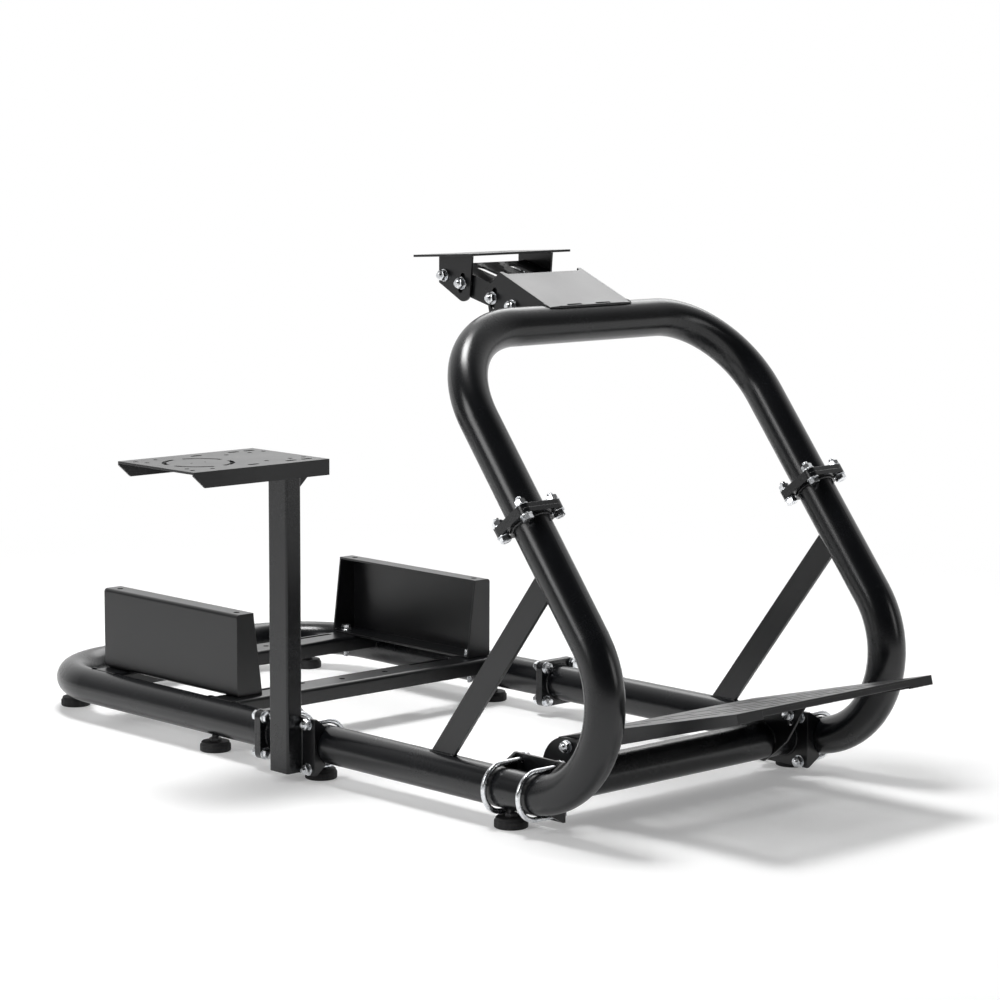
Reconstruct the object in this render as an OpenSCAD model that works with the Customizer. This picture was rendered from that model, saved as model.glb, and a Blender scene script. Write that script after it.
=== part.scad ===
/* [Tube frame] */
// Outer diameter of the round frame tube
tube_d = 50; // [48:0.5:52]
// Wall thickness of the round frame tube
tube_wall = 2; // [1.5:0.1:3]
// Distance between the centre lines of the two side rails
rail_gap = 520; // [500:5:560]
// Height of the rail centre line above the floor
rail_z = 47.5; // [46:0.5:54]
// Distance from the pedal crossbar back to the middle of the rear tube
rear_reach = 1029; // [1010:5:1080]
// Distance from the middle of the rear tube forward to the bolted joint in each rail
joint_reach = 559; // [549:1:567]
// Centre-line radius of the two rear corner bends
rear_bend_r = 133; // [120:1:140]
// Centre-line radius of the two front bends
front_bend_r = 126; // [120:1:132]
// Centre-line radius of the two upper bends
hoop_bend_r = 130; // [115:1:140]
// Distance from the pedal crossbar forward to the centre of the front bend
front_bend_reach = 20; // [16:1:26]
// Backward lean of the legs from upright
leg_lean = 38; // [36:0.5:40]
// Height of the bolted joint in each leg
leg_joint_z = 386; // [370:2:400]
// Height of the middle of the top bar
top_bar_z = 602; // [594:1:612]

/* [Bolted flanges] */
// Thickness of one flange plate
flange_t = 6; // [4:0.5:8]
// Width of a flange plate across the frame
flange_w = 70; // [68:1:78]
// Height of a flange plate
flange_h = 66; // [65:1:72]
// Corner rounding of a flange plate
flange_corner = 10; // [4:1:12]
// Distance from the plate's edges to its bolt holes
flange_edge = 8.5; // [8:0.5:10]
// Thread diameter of the frame bolts
bolt_d = 8; // [6:1:8]

/* [Side braces] */
// Width of the flat brace bar
brace_w = 33; // [25:1:40]
// Thickness of the flat brace bar
brace_t = 5; // [4:0.5:8]
// Distance from the pedal crossbar back to the foot of the brace
brace_foot_reach = 158; // [145:1:175]
// Slope of the brace measured from level
brace_slope = 52.5; // [50:0.5:56]

/* [Seat mount] */
// Height of the two seat crossmembers
member_h = 22; // [18:1:26]
// Width of the two seat crossmembers along the rails
member_w = 50; // [44:1:56]
// Sheet thickness of crossmembers and seat brackets
sheet_t = 3; // [2:0.5:4]
// Distance from the middle of the rear tube forward to the front crossmember
front_member_reach = 432; // [424:1:434]
// Distance from the middle of the rear tube forward to the rear crossmember
rear_member_reach = 161; // [154:1:174]
// Distance between the outer faces of the two seat brackets
seat_gap = 472; // [450:2:480]
// Height of a seat bracket
seat_h = 115; // [90:5:140]
// Length of a seat bracket along the rails
seat_len = 307; // [300:1:330]
// Width of the flange along the top of a seat bracket
seat_flange = 29; // [24:1:34]
// Width of the flange along the foot of a seat bracket
seat_foot = 43; // [38:1:50]

/* [Pedal mount] */
// Width of the pedal plate
pedal_w = 360; // [320:5:370]
// Depth of the pedal plate from its rear edge to its front edge
pedal_l = 308; // [280:2:340]
// Sheet thickness of the pedal plate
pedal_t = 3; // [2:0.5:4]
// Rest angle of the pedal plate from level
pedal_tilt = 14; // [10:1:16]
// Height of the pedal plate's pivot
pedal_pivot_z = 94; // [92:1:98]
// Length of the slots in the pedal plate
pedal_slot_l = 92; // [60:2:100]
// Width of the slots in the pedal plate
pedal_slot_w = 8; // [6:0.5:10]

/* [Wheel mount] */
// Width of the wheel plate
wheel_w = 180; // [170:5:240]
// Depth of the wheel plate
wheel_l = 118; // [114:2:150]
// Thickness of the wheel plate
wheel_t = 3; // [2:0.5:5]
// Rest angle of the wheel plate from level, rising toward the pedals
wheel_tilt = 3; // [0:1:5]
// Width of the wheel bracket over its side plates
bracket_w = 148; // [130:2:160]

/* [Shifter mount] */
// Thickness of the shifter post across the frame
post_t = 25; // [20:1:30]
// Width of the shifter post along the rail
post_w = 38; // [30:1:40]
// Height of the lower end of the shifter post above the floor
post_foot_z = 12; // [8:1:20]
// Height of the top face of the shifter plate
shifter_z = 424; // [380:2:480]
// Length of the shifter plate across the frame
shifter_l = 221; // [210:1:260]
// Width of the shifter plate
shifter_w = 160; // [150:2:190]
// Depth of the flanges along the shifter plate
shifter_flange = 21; // [16:1:26]

/* [Hidden] */
$fn = 48;
black = [0.05, 0.05, 0.055];
zinc = [0.75, 0.76, 0.78];
rubber = [0.03, 0.03, 0.03];

// Fits and fasteners
tube_r = tube_d / 2;
rail_x = rail_gap / 2;
joint_y = rear_reach - joint_reach;
bolt_r = bolt_d / 2;
hole_r = bolt_r + 0.5;
pivot_r = bolt_r + 0.05;
lap = 0.1;
lap_run = 2;
seam = 0.3;
over = 1;
nut_w = bolt_d * 1.85;
nut_h = bolt_d * 0.8;
washer_r = bolt_d * 1.05;
washer_t = 1.6;
thread_out = 4;
plate_gap = 1.5;

// Legs: the front bend turns each rail up into a leg that leans back
bend_y = -front_bend_reach;
leg_start_y = bend_y - front_bend_r * cos(leg_lean);
leg_start_z = rail_z + front_bend_r + front_bend_r * sin(leg_lean);
leg_joint_y = leg_start_y + (leg_joint_z - leg_start_z) * tan(leg_lean);
top_bar_y = leg_start_y + (top_bar_z - leg_start_z) * tan(leg_lean);
leg_run = (leg_joint_z - leg_start_z) / cos(leg_lean);
hoop_run = (top_bar_z - leg_joint_z) / cos(leg_lean);
brace_top_z = (brace_foot_reach + rail_z / tan(brace_slope) - leg_start_y
    + leg_start_z * tan(leg_lean)) / (tan(leg_lean) + 1 / tan(brace_slope));
brace_len = (brace_top_z - rail_z) / sin(brace_slope);
flange_hole_x = flange_w / 2 - flange_edge;
flange_hole_y = flange_h / 2 - flange_edge;

// Clamps: a folded plate that two U-bolts pull against a rail
rod_r = bolt_r - 0.5;
ubolt_z = tube_r + rod_r + 1.5;
ubolt_y = 31;
ubolt_reach = 2;
clamp_t = 4;
clamp_l = 88;
clamp_h = 75;
clamp_tip_x = 12;
clamp_tip_z = tube_r + 1;
pedal_stand = 32;
shifter_stand = 26;

// Seat brackets and crossmembers
member_z = rail_z + tube_r;
front_member_y = rear_reach - front_member_reach;
rear_member_y = rear_reach - rear_member_reach;
seat_lead = 10;
seat_start_y = front_member_y - seat_lead;
seat_hole_in = 19;
seat_bolt_end = 13;
seat_bolt_side = 28;
seat_front_bolt_y = seat_start_y + seat_bolt_end;
seat_rear_bolt_y = seat_start_y + seat_len - seat_bolt_end;
seat_bolt_x = seat_gap / 2 - seat_bolt_side;
seat_bolt_out = 38;
fold_r = 5;
member_hole_x = 40;
member_slot_x = 138;
member_slot_l = 80;
member_slot_in = 12;

// Feet
foot_r = 21.4;
foot_top_r = 19.5;
foot_h = 13.4;
foot_rim_h = 10;
front_foot_y = 15;
post_to_joint = 69;
post_y = joint_y - post_to_joint;
post_to_foot = 21;
member_to_foot = 9;
foot_y = [front_foot_y, post_y - post_to_foot, front_member_y + member_to_foot];
stud_r = 5;
stud_nut_h = 5;

// Pedal mount
pedal_bar_x = rail_x - pedal_stand - clamp_t;
pedal_pivot_y = -8;
pedal_lift = 13;
pedal_rear = 20;
pedal_front = pedal_rear - pedal_l;
pedal_lip_h = 12;
pedal_wall_h = 20;
pedal_wall_foot = -22;
pedal_wall_heel = 8;
pedal_deep_rear = -30;
pedal_deep_front = -56;
pedal_deep_end = -72;
pedal_return = 44;
lock_y = -53;
lock_z = 91;
lock_r = norm([lock_y - pedal_pivot_y, lock_z - pedal_pivot_z]);
lock_angle = atan2(lock_z - pedal_pivot_z, lock_y - pedal_pivot_y);
pedal_up = 6;
pedal_down = 14;
ear_t = 4;
ear_x = pedal_w / 2 + plate_gap;
ear_top_z = pedal_pivot_z + 10.5;
ear_round_y = -5;
ear_round_z = 62;
ear_round_r = ear_top_z - ear_round_z;
ear_front_y = -68;
ear_low_z = 35;
ear_throat_y = -45;
ear_throat_z = 53;
ear_nose_y = -64;
ear_nose_z = 84;
pedal_slot_pitch = 40;
pedal_slot_rows = [-56, -158, -238];

// Wheel mount
side_t = 3;
arm_low_y = 213;
arm_low_z = 623;
arm_slot_y = 250;
arm_slot_z = 631.5;
arm_top_slot_y = 309.5;
arm_top_slot_z = 648;
arm_top_y = 344;
arm_top_z = 657;
arm_h = 30;
arm_w = bracket_w - 2 * side_t - 2 * plate_gap;
arm_span = norm([arm_top_y - arm_low_y, arm_top_z - arm_low_z]);
arm_angle = atan2(arm_top_z - arm_low_z, arm_top_y - arm_low_y);
arm_window_l = 50;
arm_window_y = arm_span * 0.72;
arm_window_w = 15;
arm_window_x = 30;
low_slot_r = norm([arm_slot_y - arm_low_y, arm_slot_z - arm_low_z]);
low_slot_angle = atan2(arm_slot_z - arm_low_z, arm_slot_y - arm_low_y);
top_slot_r = norm([arm_top_slot_y - arm_top_y, arm_top_slot_z - arm_top_z]);
top_slot_angle = atan2(arm_top_slot_z - arm_top_z, arm_top_slot_y - arm_top_y);
slot_reach = 15;
slot_w = bolt_d + 1;
wheel_z = 684;
wheel_y = 331;
ear_front_top = 290.6;
ear_rear_top = 355;
ear_tip_y = 308;
ear_tip_z = 637.5;
ear_tip_r = 13.5;
ear_foot_z = 647;
ear_slope = 30;
cover_low_y = top_bar_y - 12;
cover_low_z = top_bar_z + 23;
cover_high_y = 238;
cover_high_z = 666;
cover_dip = 7;
cover_slope = atan2(cover_high_z - cover_low_z, cover_high_y - cover_low_y);
cover_run = norm([cover_high_y - cover_low_y, cover_high_z - cover_low_z]);
stitch_w = 26;
stitch_x = 26;
bracket_nose = [264, 641];
bracket_heel = [257, 611];
bracket_toe = [205, 606];
wheel_hole_x = 70;
wheel_hole_y = 40;
wheel_hole_d = 6.5;
wheel_slot_x = 39.9;
wheel_slot_l = 60;

// Shifter mount
post_x = -rail_x - shifter_stand - clamp_t - post_t / 2;
post_to_plate = 49;
shifter_y = post_y + post_to_plate;
shifter_inner = -252;
shifter_cut = 18;
gusset_l = 38;
gusset_foot = 9;
ring_x = -shifter_l * 0.69;
ring_r = 44;
ring_slot_w = 6;
ring_slot_turn = 70;
ring_slot_from = 10;
ring_hole_x = 11;
row_in = 42;
row_out = 60;
row_r = 3.3;
row_slot_l = 18;
row_in_holes = [12, 35, 74, 203];
row_out_slots = [22, 48, 110];
row_out_holes = [176, 208];

// Placing: the origin is under the middle of the whole object's box
box_left = shifter_inner - shifter_l;
box_right = rail_x + ubolt_reach + ubolt_z + rod_r;
box_front = pedal_pivot_y + pedal_front * cos(pedal_tilt)
    + (pedal_lift - pedal_lip_h) * sin(pedal_tilt);
box_rear = rear_reach + tube_r;
mid_x = (box_left + box_right) / 2;
mid_y = (box_front + box_rear) / 2;

// Every node is drawn about the pedal crossbar and the centre plane, then placed
module placed() {
    translate([-mid_x, -mid_y, 0]) children();
}

// One shape on each side of the centre plane
module both_sides() {
    children();
    mirror([1, 0, 0]) children();
}

// Lays a shape drawn in XY into the side plane: X runs back, Y runs up
module side_plane() {
    rotate([90, 0, 90]) children();
}

// A round bar along +X, centred on a point of the side plane
module cross_pin(y, z, r, reach) {
    translate([-reach, y, z]) rotate([0, 90, 0]) cylinder(h = 2 * reach, r = r);
}

// A rectangle with round corners made of plain circles and squares
module rounded(w, h, r) {
    square([w - 2 * r, h], center = true);
    square([w, h - 2 * r], center = true);
    for (x = [-1, 1], y = [-1, 1])
        translate([x * (w / 2 - r), y * (h / 2 - r)]) circle(r = r);
}

// A straight slot with round ends, its length along X
module slot(length, width) {
    square([length - width, width], center = true);
    for (x = [-1, 1]) translate([x * (length - width) / 2, 0]) circle(d = width);
}

// A curved slot about the origin, from one angle to another, cut along Z
module arc_slot(r, from, to, w, h) {
    rotate([0, 0, from]) rotate_extrude(angle = to - from)
        translate([r - w / 2, 0]) square([w, h]);
    for (a = [from, to]) rotate([0, 0, a]) translate([r, 0, 0])
        cylinder(h = h, r = w / 2 - lap);
}

// One solid bend that starts along +Y from the X axis
module bend(bend_r, r, turn) {
    rotate_extrude(angle = turn)
        translate([bend_r, 0]) circle(r = r);
}

module hexagon(h) {
    cylinder(h = h, d = nut_w, $fn = 6);
}

// A hex bolt along Z: head and washer below the joint, washer and nut above it
module hex_bolt(grip) {
    translate([0, 0, -washer_t - nut_h]) hexagon(nut_h);
    translate([0, 0, -washer_t]) cylinder(h = washer_t, r = washer_r);
    cylinder(h = grip + washer_t + nut_h + thread_out, r = bolt_r);
    translate([0, 0, grip]) cylinder(h = washer_t, r = washer_r);
    translate([0, 0, grip + washer_t]) hexagon(nut_h);
}

// Solid core of the rear tube: a U that lies flat
module rear_core(r) {
    side_run = rear_reach - rear_bend_r - joint_y;
    bar_run = rail_gap - 2 * rear_bend_r;
    translate([0, 0, rail_z]) {
        both_sides() {
            translate([rail_x, joint_y, 0])
                rotate([-90, 0, 0]) cylinder(h = side_run, r = r);
            translate([rail_x - rear_bend_r, rear_reach - rear_bend_r, 0])
                bend(rear_bend_r, r, 90);
        }
        translate([-bar_run / 2, rear_reach, 0])
            rotate([0, 90, 0]) cylinder(h = bar_run, r = r);
    }
}

// Solid core of one side tube; the bend is a hair thinner so that the runs lap over its ends
module side_core(r) {
    translate([0, bend_y, rail_z + front_bend_r]) side_plane() rotate([0, 0, -90]) {
        translate([front_bend_r, -lap_run, 0]) rotate([-90, 0, 0])
            cylinder(h = joint_y - bend_y + lap_run, r = r);
        rotate([0, 0, -90 - leg_lean]) {
            bend(front_bend_r, r - lap, 90 + leg_lean);
            translate([front_bend_r, lap_run, 0]) rotate([90, 0, 0])
                cylinder(h = leg_run + lap_run, r = r);
        }
    }
}

// Solid core of the top hoop, drawn upright with its top bar on the X axis
module hoop_core(r) {
    bar_run = rail_gap - 2 * hoop_bend_r;
    both_sides() {
        translate([rail_x, 0, -hoop_run])
            cylinder(h = hoop_run - hoop_bend_r, r = r);
        translate([rail_x - hoop_bend_r, 0, -hoop_bend_r])
            rotate([90, 0, 0]) bend(hoop_bend_r, r, 90);
    }
    translate([-bar_run / 2, 0, 0]) rotate([0, 90, 0]) cylinder(h = bar_run, r = r);
}

// A welded flange plate with its four bolt holes
module flange_plate() {
    linear_extrude(flange_t) difference() {
        rounded(flange_w, flange_h, flange_corner);
        for (x = [-1, 1], y = [-1, 1])
            translate([x * flange_hole_x, y * flange_hole_y]) circle(r = hole_r);
    }
}

// The four bolts through a pair of flange plates that meet at the origin
module flange_bolts() {
    for (x = [-1, 1], y = [-1, 1])
        translate([x * flange_hole_x, y * flange_hole_y, -flange_t]) hex_bolt(2 * flange_t);
}

module rear_base_tube() {
    color(black) placed() difference() {
        union() {
            rear_core(tube_r);
            both_sides() translate([rail_x, joint_y, rail_z])
                rotate([-90, 0, 0]) flange_plate();
        }
        rear_core(tube_r - tube_wall);
    }
}

module side_tube() {
    difference() {
        union() {
            side_core(tube_r);
            translate([0, joint_y - flange_t, rail_z]) rotate([-90, 0, 0]) flange_plate();
            translate([0, leg_joint_y, leg_joint_z]) rotate([-leg_lean, 0, 0])
                translate([0, 0, -flange_t]) flange_plate();
        }
        side_core(tube_r - tube_wall);
    }
}

module right_side_tube() {
    color(black) placed() translate([-rail_x, 0, 0]) side_tube();
}

module left_side_tube() {
    color(black) placed() translate([rail_x, 0, 0]) side_tube();
}

module top_hoop() {
    color(black) placed() translate([0, top_bar_y, top_bar_z]) rotate([-leg_lean, 0, 0])
        difference() {
            union() {
                hoop_core(tube_r);
                both_sides() translate([rail_x, 0, -hoop_run]) flange_plate();
            }
            hoop_core(tube_r - tube_wall);
        }
}

// A flat bar from the rail up to the leg, cut where it meets both tubes
module brace() {
    difference() {
        translate([-brace_t / 2, brace_foot_reach, rail_z]) side_plane()
            rotate(180 - brace_slope) translate([0, -brace_w / 2])
            linear_extrude(brace_t) square([brace_len, brace_w]);
        side_core(tube_r);
    }
}

module right_brace() {
    color(black) placed() translate([-rail_x, 0, 0]) brace();
}

module left_brace() {
    color(black) placed() translate([rail_x, 0, 0]) brace();
}

// A folded crossmember, open below, whose ends are cut round the rails
module crossmember(bolt_y) {
    difference() {
        translate([-rail_x, 0, member_z]) side_plane() linear_extrude(rail_gap)
            member_section();
        for (x = [-1, 1]) translate([x * rail_x, -member_w, rail_z])
            rotate([-90, 0, 0]) cylinder(h = 2 * member_w, r = tube_r);
        translate([0, 0, member_z - member_h]) linear_extrude(member_h + over)
            both_sides() {
                translate([seat_bolt_x, bolt_y]) circle(r = hole_r);
                translate([member_hole_x, 0]) circle(r = hole_r);
                translate([member_slot_x, member_w / 2 - member_slot_in])
                    slot(member_slot_l, bolt_d);
            }
    }
}

// Section of a crossmember: a sheet folded down along both long edges
module member_section() {
    difference() {
        union() {
            translate([-member_w / 2, -member_h]) square([member_w, member_h - fold_r]);
            translate([-member_w / 2 + fold_r, -fold_r * 2])
                square([member_w - 2 * fold_r, fold_r * 2]);
            for (y = [-1, 1]) translate([y * (member_w / 2 - fold_r), -fold_r])
                circle(r = fold_r);
        }
        translate([-member_w / 2 + sheet_t, -member_h - over])
            square([member_w - 2 * sheet_t, member_h - sheet_t + over]);
    }
}

module front_seat_crossmember() {
    color(black) placed() translate([0, front_member_y, 0])
        crossmember(seat_front_bolt_y - front_member_y);
}

module rear_seat_crossmember() {
    color(black) placed() translate([0, rear_member_y, 0])
        crossmember(seat_rear_bolt_y - rear_member_y);
}

// A pressed side bracket: web outside, flanges turned in along the top, foot and both ends
module seat_bracket() {
    translate([0, seat_start_y, member_z]) {
        difference() {
            translate([seat_gap / 2, seat_len, 0]) rotate([90, 0, 0])
                linear_extrude(seat_len) seat_section();
            for (y = [seat_hole_in, seat_len - seat_hole_in])
                translate([seat_gap / 2 - seat_flange / 2, y, seat_h / 2])
                    cylinder(h = seat_h, r = hole_r);
            for (y = [seat_front_bolt_y, seat_rear_bolt_y])
                translate([seat_bolt_x, y - seat_start_y, -over])
                    cylinder(h = 2 * sheet_t + over, r = hole_r);
        }
        for (y = [0, seat_len - sheet_t])
            translate([seat_gap / 2, y + sheet_t, 0]) rotate([90, 0, 0])
                linear_extrude(sheet_t) polygon([[-sheet_t, sheet_t], [-sheet_t, seat_h - sheet_t],
                    [-seat_flange, seat_h - sheet_t], [-seat_foot, sheet_t]]);
    }
}

// Section of a seat bracket: its web is at x = 0 and its flanges point to -x
module seat_section() {
    difference() {
        union() {
            translate([-seat_foot, 0]) square([seat_foot - fold_r, seat_h / 2]);
            translate([-seat_flange, seat_h / 2]) square([seat_flange - fold_r, seat_h / 2]);
            translate([-fold_r * 2, fold_r]) square([fold_r * 2, seat_h - 2 * fold_r]);
            for (z = [fold_r, seat_h - fold_r]) translate([-fold_r, z]) circle(r = fold_r);
        }
        translate([-seat_foot - over, sheet_t])
            square([seat_foot + over - sheet_t, seat_h - 2 * sheet_t]);
    }
}

module right_seat_bracket() {
    color(black) placed() mirror([1, 0, 0]) seat_bracket();
}

module left_seat_bracket() {
    color(black) placed() seat_bracket();
}

// The four bolts that hold the seat brackets, nuts on top and heads inside the members
module seat_bracket_bolts() {
    color(zinc) placed() both_sides() for (y = [seat_front_bolt_y, seat_rear_bolt_y])
        translate([seat_bolt_x, y, member_z - seat_bolt_out]) {
            cylinder(h = seat_bolt_out + sheet_t + nut_h + over, r = bolt_r);
            translate([0, 0, seat_bolt_out - sheet_t - nut_h]) hexagon(nut_h);
            translate([0, 0, seat_bolt_out + sheet_t]) cylinder(h = washer_t, r = washer_r);
            translate([0, 0, seat_bolt_out + sheet_t + washer_t]) hexagon(nut_h);
        }
}

// Positions of the feet: three under each rail and one under each rear corner
module at_feet() {
    both_sides() {
        for (y = foot_y) translate([rail_x, y, 0]) children();
        translate([rail_x - rear_bend_r, rear_reach - rear_bend_r, 0]) rotate([0, 0, 45])
            translate([rear_bend_r, 0, 0]) children();
    }
}

// A moulded rubber foot with a bevelled top edge
module levelling_feet() {
    color(rubber) placed() at_feet() rotate_extrude()
        polygon([[0, 0], [foot_r, 0], [foot_r, foot_rim_h], [foot_top_r, foot_h], [0, foot_h]]);
}

// A stud up to the tube, with a lock nut under the tube
module foot_studs() {
    stud_top = rail_z - tube_r;
    color(black) placed() difference() {
        at_feet() {
            translate([0, 0, foot_h]) cylinder(h = stud_top + over - foot_h, r = stud_r);
            translate([0, 0, foot_h]) hexagon(stud_nut_h);
        }
        rear_core(tube_r);
        both_sides() translate([rail_x, 0, 0]) side_core(tube_r);
    }
}

module base_flange_bolts() {
    color(zinc) placed() both_sides() translate([rail_x, joint_y, rail_z])
        rotate([-90, 0, 0]) flange_bolts();
}

module leg_flange_bolts() {
    color(zinc) placed() both_sides() translate([rail_x, leg_joint_y, leg_joint_z])
        rotate([-leg_lean, 0, 0]) flange_bolts();
}

// A clamp plate beside a rail on the Y axis: web toward +X, both ends folded to the tube
module clamp(stand) {
    difference() {
        translate([stand, -clamp_l / 2, -clamp_h / 2]) cube([clamp_t, clamp_l, clamp_h]);
        for (y = [-1, 1], z = [-1, 1]) translate([stand - over, y * ubolt_y, z * ubolt_z])
            rotate([0, 90, 0]) cylinder(h = clamp_t + 2 * over, r = hole_r);
    }
    for (y = [-clamp_l / 2, clamp_l / 2 - clamp_t]) translate([0, y + clamp_t, 0])
        rotate([90, 0, 0]) linear_extrude(clamp_t)
        polygon([[stand + clamp_t, -clamp_h / 2], [stand + clamp_t, clamp_h / 2],
            [stand, clamp_h / 2], [clamp_tip_x, clamp_tip_z], [clamp_tip_x, -clamp_tip_z],
            [stand, -clamp_h / 2]]);
}

// One U-bolt round a rail on the Y axis, its legs and nuts toward +X
module u_bolt(stand) {
    face = stand + clamp_t;
    translate([-ubolt_reach, 0, 0]) {
        rotate([90, 0, 0]) rotate([0, 0, 90]) bend(ubolt_z, rod_r, 180);
        for (z = [-1, 1]) translate([0, 0, z * ubolt_z]) rotate([0, 90, 0])
            cylinder(h = ubolt_reach + face + washer_t + nut_h + thread_out, r = rod_r);
    }
    for (z = [-1, 1]) translate([face, 0, z * ubolt_z]) rotate([0, 90, 0]) {
        cylinder(h = washer_t, r = washer_r);
        translate([0, 0, washer_t]) hexagon(nut_h);
    }
}

// The clamp at the right end of the pedal crossbar, cut to fit its tube
module pedal_clamp() {
    difference() {
        translate([-rail_x, 0, rail_z]) clamp(pedal_stand);
        translate([-rail_x, 0, 0]) side_core(tube_r + seam);
    }
}

module right_pedal_clamp() {
    color(black) placed() pedal_clamp();
}

module left_pedal_clamp() {
    color(black) placed() mirror([1, 0, 0]) pedal_clamp();
}

module pedal_u_bolts() {
    for (y = [-1, 1]) translate([-rail_x, y * ubolt_y, rail_z]) u_bolt(pedal_stand);
}

module right_pedal_u_bolts() {
    color(zinc) placed() pedal_u_bolts();
}

module left_pedal_u_bolts() {
    color(zinc) placed() mirror([1, 0, 0]) pedal_u_bolts();
}

// The round tube welded between the webs of the two pedal clamps
module pedal_crossbar() {
    color(black) placed() translate([-pedal_bar_x, 0, rail_z]) rotate([0, 90, 0])
        difference() {
            cylinder(h = 2 * pedal_bar_x, r = tube_r);
            translate([0, 0, -over])
                cylinder(h = 2 * pedal_bar_x + 2 * over, r = tube_r - tube_wall);
        }
}

// The two plates welded upright round the crossbar, each with a pivot hole and a curved slot
module pedal_ears() {
    color(black) placed() difference() {
        both_sides() translate([ear_x, 0, 0]) side_plane() linear_extrude(ear_t) pedal_ear();
        cross_pin(0, rail_z, tube_r, rail_x);
        cross_pin(pedal_pivot_y, pedal_pivot_z, pivot_r, rail_x);
        translate([-rail_x, pedal_pivot_y, pedal_pivot_z]) side_plane()
            arc_slot(lock_r, lock_angle - pedal_up - 1, lock_angle + pedal_down + 1,
                slot_w, rail_gap);
    }
}

module pedal_ear() {
    difference() {
        translate([ear_round_y, ear_round_z]) circle(r = ear_round_r);
        translate([ear_round_y - 2 * ear_round_r, 0])
            square([2 * ear_round_r, 2 * ear_top_z]);
    }
    polygon([[ear_front_y, ear_top_z], [ear_round_y, ear_top_z],
        [ear_round_y, ear_round_z - ear_round_r], [-tube_r, ear_low_z],
        [ear_throat_y, ear_throat_z], [ear_nose_y, ear_nose_z]]);
}

// The pivot bolts stay with the ears
module pedal_pivot_bolts() {
    color(zinc) placed() both_sides()
        translate([ear_x - plate_gap - pedal_t - nut_h, pedal_pivot_y, pedal_pivot_z])
        rotate([0, 90, 0]) wall_bolt();
}

// The lock bolts ride with the pedal plate along the slots in the ears
module pedal_lock_bolts() {
    color(zinc) placed() both_sides()
        translate([ear_x - plate_gap - pedal_t - nut_h, lock_y, lock_z])
        rotate([0, 90, 0]) wall_bolt();
}

// A hex bolt through a pedal side wall and the ear beside it: nut inside, head outside
module wall_bolt() {
    grip = pedal_t + plate_gap + ear_t + seam;
    cylinder(h = nut_h + grip + washer_t + nut_h, r = bolt_r);
    hexagon(nut_h - seam);
    translate([0, 0, nut_h + grip]) cylinder(h = washer_t, r = washer_r);
    translate([0, 0, nut_h + grip + washer_t]) hexagon(nut_h);
}

// The pedal plate about its pivot: a slotted deck, side walls and a return at each front corner
module pedal_plate() {
    color(black) placed() translate([0, pedal_pivot_y, pedal_pivot_z]) rotate([-pedal_tilt, 0, 0])
        difference() {
            union() {
                translate([-pedal_w / 2, pedal_front, pedal_lift - pedal_t])
                    cube([pedal_w, pedal_l, pedal_t]);
                both_sides() {
                    translate([pedal_w / 2 - pedal_t, 0, 0]) side_plane()
                        linear_extrude(pedal_t) pedal_wall();
                    translate([pedal_w / 2 - pedal_return, pedal_front, pedal_lift - pedal_lip_h])
                        cube([pedal_return, pedal_t, pedal_lip_h]);
                }
            }
            cross_pin(0, 0, pivot_r, pedal_w);
            rotate([pedal_tilt, 0, 0])
                cross_pin(lock_y - pedal_pivot_y, lock_z - pedal_pivot_z, hole_r, pedal_w);
            translate([0, 0, -over]) linear_extrude(pedal_lift + 2 * over)
                for (row = pedal_slot_rows, column = [-3 : 3])
                    translate([column * pedal_slot_pitch, row]) rotate(90)
                        slot(row_slot(row), pedal_slot_w);
        }
}

// The middle row of slots is the long one
function row_slot(row) = row == pedal_slot_rows[1] ? pedal_slot_l : pedal_slot_l * 0.6;

// Side wall of the pedal plate, with a deep part round the pivot and the lock bolt
module pedal_wall() {
    polygon([[pedal_rear, pedal_lift], [pedal_rear, 0],
        [pedal_rear - pedal_wall_heel, pedal_wall_foot / 2],
        [pedal_deep_rear, pedal_wall_foot], [pedal_deep_front, pedal_wall_foot],
        [pedal_deep_end, pedal_lift - pedal_wall_h],
        [pedal_front, pedal_lift - pedal_lip_h], [pedal_front, pedal_lift]]);
}

// The wheel bracket welded to the top bar: two side plates under a sloping cover
module wheel_bracket() {
    color(black) placed() difference() {
        union() {
            both_sides() translate([bracket_w / 2 - side_t, 0, 0]) side_plane()
                linear_extrude(side_t) bracket_side();
            bracket_cover();
        }
        cross_pin(top_bar_y, top_bar_z, tube_r, bracket_w);
        cross_pin(arm_low_y, arm_low_z, hole_r, bracket_w);
        translate([-bracket_w, arm_low_y, arm_low_z]) side_plane()
            arc_slot(low_slot_r, low_slot_angle - slot_reach, low_slot_angle + slot_reach,
                slot_w, 2 * bracket_w);
    }
}

module bracket_side() {
    polygon([[cover_low_y, cover_low_z], [cover_high_y, cover_high_z], bracket_nose,
        bracket_heel, bracket_toe, [top_bar_y + tube_r / 2, top_bar_z]]);
}

// Sloping cover, drawn flat from its foot on the tube: its rear edge dips between the sides
module bracket_cover() {
    translate([0, cover_low_y, cover_low_z]) rotate([cover_slope, 0, 0])
        translate([0, 0, -side_t]) linear_extrude(side_t) difference() {
            translate([-bracket_w / 2 + lap, 0]) square([bracket_w - 2 * lap, cover_run]);
            translate([0, cover_run])
                rounded(bracket_w - 4 * side_t, 2 * cover_dip, cover_dip - lap);
            for (x = [-1, 1]) translate([x * stitch_x, 0])
                square([stitch_w, 4 * side_t], center = true);
        }
}

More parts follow.
